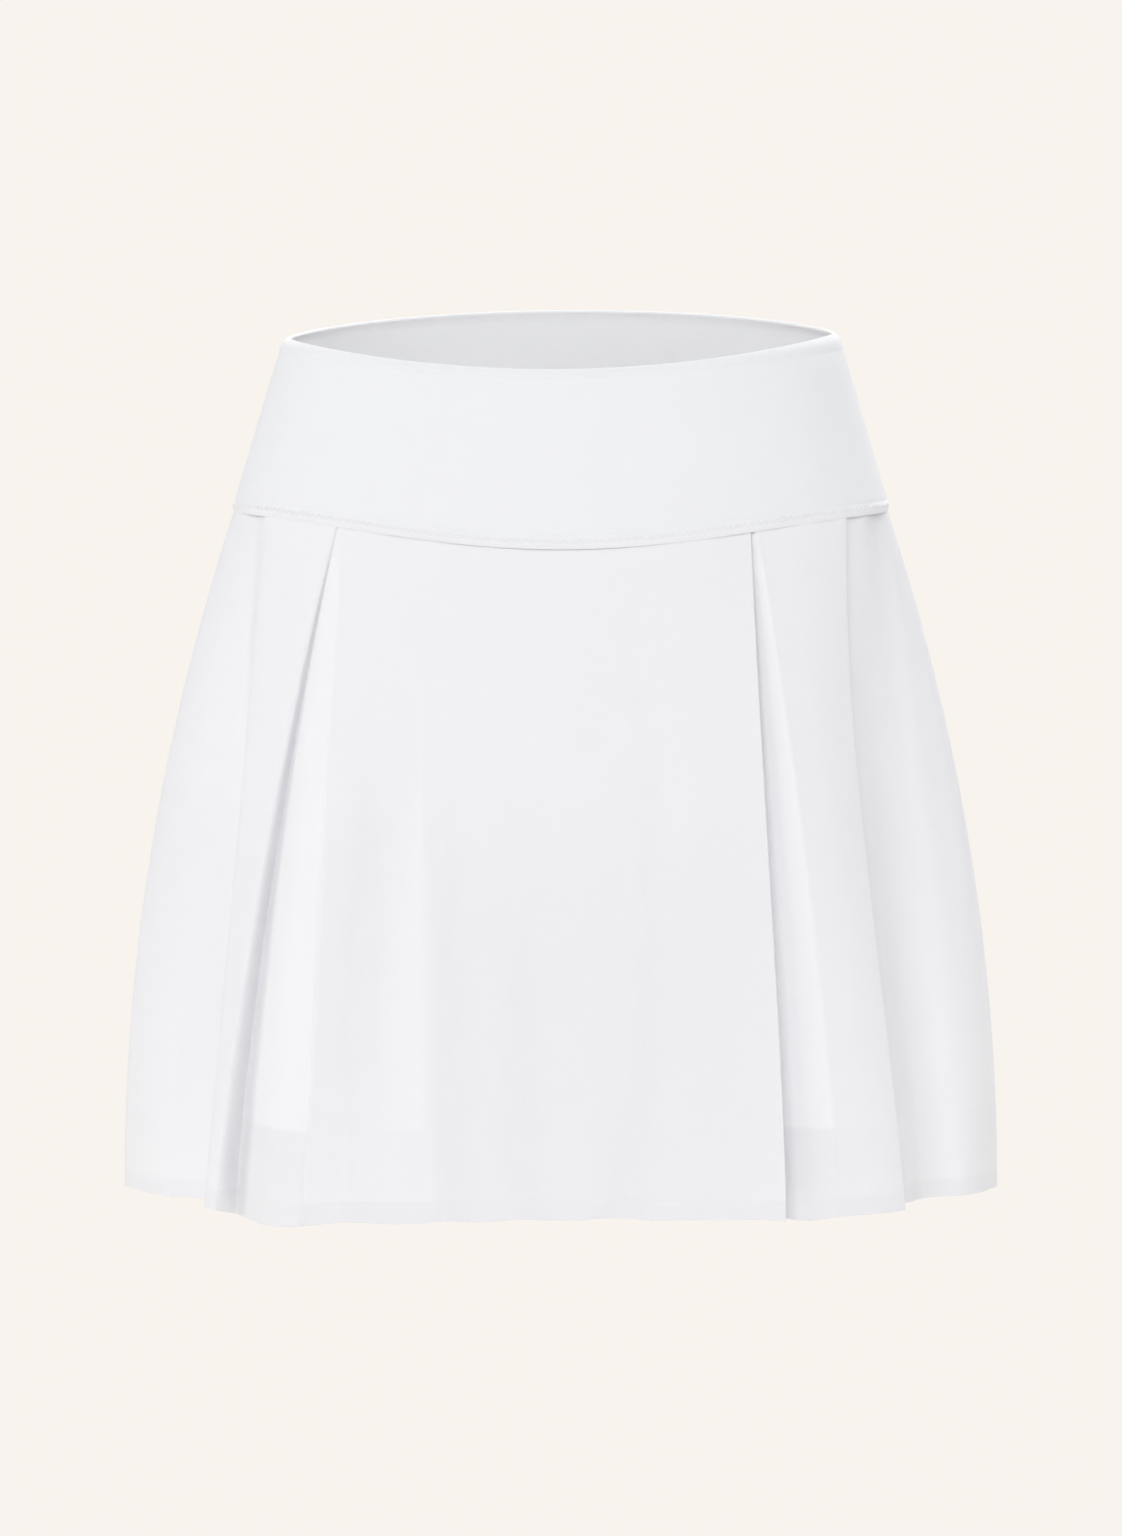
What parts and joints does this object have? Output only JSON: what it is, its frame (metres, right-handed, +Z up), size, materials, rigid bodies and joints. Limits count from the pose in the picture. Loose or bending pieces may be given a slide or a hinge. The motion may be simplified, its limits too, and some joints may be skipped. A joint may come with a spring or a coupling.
{
  "type": "tennis skirt",
  "caption": "Short flared tennis skirt in its worn shape, with a wide fitted waistband, inverted pleats front and back, and close-fitting shorts sewn inside it.",
  "frame": {"origin": "middle of the waist opening, at the height of the rim over the hips, where the wearer's waist holds the skirt", "axes": "+Z up along the wearer, -Y towards the front of the skirt, +X towards its right-hand side as seen from the front"},
  "size_m": [0.3946, 0.2569, 0.3929],
  "materials": {
    "band_knit": "smooth matte double knit, white",
    "skirt_cloth": "light smooth woven stretch cloth, white with a faint sheen",
    "tights_knit": "fine matte stretch knit, white"
  },
  "bodies": {
    "root": {"waistband_front": "band_knit", "waistband_back": "band_knit", "skirt_front": "skirt_cloth", "skirt_back": "skirt_cloth", "tights_left": "tights_knit", "tights_right": "tights_knit"}
  },
  "joints": []
}
